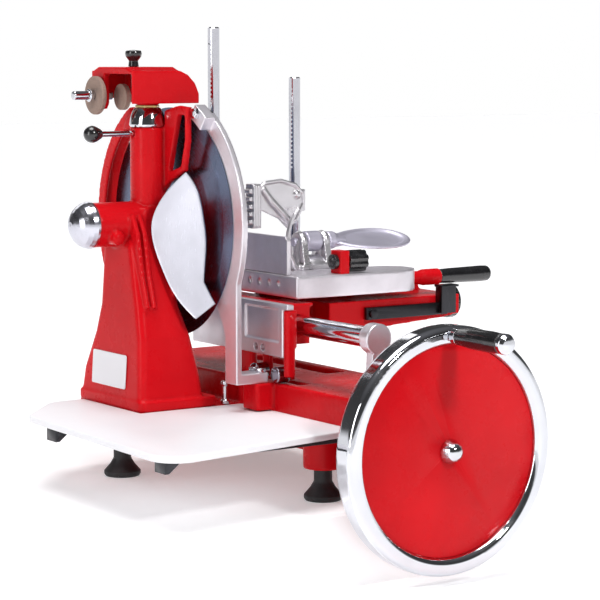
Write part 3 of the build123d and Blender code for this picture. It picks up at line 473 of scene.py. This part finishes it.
# ---------------------------------------------------------------- castings
def clamp_base_shapes(bm):
    """Plinth and thick lugs round the hinge, and the curved strap beside the claw."""
    ball(bm, CLAMP_HINGE, (-9, 0, -35), (30, 23, 17))
    for x in (-27, 9):
        tube(bm, CLAMP_HINGE, [(x, 0, -32), (x, 0, -14), (x, 0, 2)], [11, 9, 10])
        ball(bm, CLAMP_HINGE, (x, 0, 0), (5.5, 14.5, 14.5))
    strap = [(-44, -16, -34), (-50, -19, -27), (-56, -20, -14), (-59, -20, 0), (-58, -20, 14), (-54, -20, 28),
             (-48, -20, 39), (-41, -20, 47)]
    tube(bm, CLAMP_HINGE, strap, [5, 4.2, 3.6, 3.3, 3.1, 3, 3, 2.6])
    ball(bm, CLAMP_HINGE, (-40, -12, -33), (10, 9, 6))


def claw_shapes(bm):
    """Rim and diagonal band on the plate, ridges on the pad, and the pin's boss."""
    rim = [(18, 31), (18, 54), (29, 62), (54, 64.5), (77, 58), (89, 46.5), (90, 32), (78, 10)]
    tube(bm, CLAW_CORNER, [(x, 8, z) for x, z in rim], [2.6] * len(rim), 12)
    tube(bm, CLAW_CORNER, [(24, 7, 55), (38, 6, 37), (54, 6, 22), (70, 7, 6)], [4, 4.6, 4.6, 4], 16)
    ball(bm, CLAW_CORNER, (80, 10, 45), (7, 5.5, 7))
    for x in (7, 11, 15):
        tube(bm, CLAW_CORNER, [(x, 0, 6), (x, 0, 58)], [1.3, 1.3], 10)


def wing_shapes(bm):
    """Hinge barrels, neck and dished leaf of the thumb lever."""
    tube(bm, CLAMP_HINGE, [(-38, 0, 0), (26, 0, 0)], [6, 6], 32)
    tube(bm, CLAMP_HINGE, [(-21.4, 0, 0), (-20, 0, 0), (2, 0, 0), (3.4, 0, 0)], [12, 13.8, 13.8, 12], 40)
    tube(bm, CLAMP_HINGE, [(14.6, 0, 0), (16, 0, 0), (26, 0, 0), (32, 0, -0.5), (46, -1, -1.5)],
         [10, 12, 12, 9.5, 7], 40)
    dished_leaf(bm, CLAMP_HINGE, (89, 0, -3.5), (0, -0.36, 0.933), 64.5, 35.5, 5)


cast("column_casting", 2.0, 5, AGED_RED_WITH_PAINTED_LIGHT)
cast("bed_casting", 2.4, 4, AGED_RED_WITH_PAINTED_LIGHT)
cast("carriage_casting", 2.0, 4, AGED_RED_WITH_PAINTED_LIGHT)
cast("sharpener_hood", 1.2, 6, AGED_RED_WITH_PAINTED_LIGHT)
cast("guard_ring", 1.1, 4)
cast("claw_head", 0.9, 3, DARK_CAST, claw_shapes)
cast("clamp_base", 1.0, 4, DARK_CAST, clamp_base_shapes)
cast("clamp_bridge", 1.2, 4, DARK_CAST)
cast("wing_lever", 1.0, 4, LEAF_CAST, wing_shapes, keep_cad=False)
cast("meat_table", 1.5, 4)
cast("side_frame", 1.1, 3)
cast("rod_supports", 1.2, 4)
cast("fence_plate", 1.0, 2)

for node, width in (
        ("tray", 2.4), ("index_bar", 1.0), ("sharpener_knob", 1.0), ("lock_knob", 1.2),
        ("lock_lever_ball", 1.0), ("thickness_dial", 0.8), ("handle_grip", 1.5), ("handle_stud", 0.8),
        ("hub_nut", 0.8), ("feed_handle_grip", 1.2), ("feed_handle_socket", 1.4), ("guard_bolts", 0.6),
        ("tray_stud", 0.6), ("neck_collar", 0.8), ("lock_knob_bracket", 1.6), ("tray_brackets", 1.0),
        ("rubber_feet", 1.0), ("grinding_stone", 0.5), ("deburring_stone", 0.5),
        ("stone_spindle", 0.6), ("flywheel_disc", 0.8), ("guide_roller_front", 0.6),
        ("guide_roller_rear", 0.6), ("blade_hub", 0.6), ("carriage_rod", 1.0)):
    softened(node, width)
softened("slice_deflector", 0.7, rim=(3.0, 0.6))
softened("name_plate", 0.35, rim=(2.0, 0.3))


def pivot_nut():
    """Brass nut on the sharpener's pivot, between the neck collar and the hood."""
    low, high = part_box("neck_collar")
    centre = (low + high) / 2
    bm = bmesh.new()
    height, radius, gap, turn = 0.0036, 0.0165, 0.0001, 0.3
    middle = Vector((centre.x, centre.y, high.z + gap + height / 2))
    place = Matrix.Translation(middle) @ Matrix.Rotation(turn, 4, "Z")
    bmesh.ops.create_cone(bm, cap_ends=True, segments=6, radius1=radius, radius2=radius, depth=height,
                          matrix=place)
    mesh = shaped("pivot_nut", bm, [("BEVEL", {"width": 0.0009, "segments": 3})])
    nut = piece("pivot_nut", mesh, FINISHES["bronze"], "sharpener_hood")


pivot_nut()


# ---------------------------------------------------------------- studio
def area_light(name, place, aim, size, power):
    data = bpy.data.lights.new(name, "AREA")
    data.shape = "RECTANGLE"
    data.size, data.size_y = size
    data.energy = power
    light = bpy.data.objects.new(name, data)
    light.location = place
    light.rotation_euler = (Vector(aim) - Vector(place)).to_track_quat("-Z", "Y").to_euler()
    bpy.context.scene.collection.objects.link(light)


def studio():
    """Pale bench with a lower floor in front, where the flywheel hangs, and soft boxes."""
    bench_front = RIM_HIGH.y + 0.035
    floor_z = cad_low.z - 0.012
    reach = 14
    mesh = bpy.data.meshes.new("floor")
    lip = 0.004
    rows = [(-reach, floor_z), (bench_front, floor_z), (bench_front, -lip), (bench_front + lip, 0),
            (reach, 0)]
    points = [(x, y, z) for y, z in rows for x in (-reach, reach)]
    faces = [(2 * i, 2 * i + 1, 2 * i + 3, 2 * i + 2) for i in range(len(rows) - 1)]
    mesh.from_pydata(points, [], faces)
    s = Shader("floor_paint", (0.86, 0.86, 0.86), 0.0, 0.7)
    floor = bpy.data.objects.new("floor", mesh)
    floor.data.materials.append(s.done(s.blend(s.noise(3, 3), (0.88, 0.88, 0.89), (0.86, 0.86, 0.87)),
                                       Emission_Color=(1, 1, 1, 1), Emission_Strength=0.3))
    bpy.context.scene.collection.objects.link(floor)
    area_light("key", (0.25, -3.0, 2.1), (0.05, 0, 0.2), (0.4, 0.4), 48)
    area_light("left_fill", (-3.2, -0.8, 1.2), (0, 0, 0.3), (1.0, 2.0), 32)
    area_light("back", (0.6, 3.2, 1.8), (0.05, 0, 0.3), (2.4, 1.2), 14)
    data = bpy.data.lights.new("sky_panel", "SUN")
    data.energy = 2.4
    data.angle = math.radians(38)
    sky = bpy.data.objects.new("sky_panel", data)
    sky.rotation_euler = (math.radians(3), math.radians(-6), 0)
    bpy.context.scene.collection.objects.link(sky)


def world_light():
    """Pale at the horizon and dim overhead, so that polished metal has something to show."""
    world = bpy.data.worlds.new("studio")
    bpy.context.scene.world = world
    world.use_nodes = True
    tree = world.node_tree
    where = tree.nodes.new("ShaderNodeTexCoord")
    split = tree.nodes.new("ShaderNodeSeparateXYZ")
    ramp = tree.nodes.new("ShaderNodeValToRGB")
    tree.links.new(where.outputs["Generated"], split.inputs[0])
    tree.links.new(split.outputs["Z"], ramp.inputs[0])
    tree.links.new(ramp.outputs[0], tree.nodes["Background"].inputs["Color"])
    stops = ramp.color_ramp.elements
    stops[0].position, stops[0].color = 0.0, (1, 1, 1, 1)
    stops[1].position, stops[1].color = 1.0, (0.16, 0.16, 0.17, 1)
    for place, grey in ((0.07, 1.0), (0.14, 0.07), (0.5, 0.05)):
        stops.new(place).color = (grey, grey, grey * 1.02, 1)
    tree.nodes["Background"].inputs["Strength"].default_value = 1.0


def camera():
    data = bpy.data.cameras.new("camera")
    data.lens = 136.08
    data.sensor_width = 36
    data.clip_end = 60
    eye = bpy.data.objects.new("camera", data)
    eye.location = (-1.528, -2.569, 0.547)
    eye.rotation_euler = (math.radians(90 - 6.14), 0, math.radians(-34))
    bpy.context.scene.collection.objects.link(eye)
    bpy.context.scene.camera = eye


studio()
world_light()
camera()
bpy.context.scene.view_settings.view_transform = "Standard"
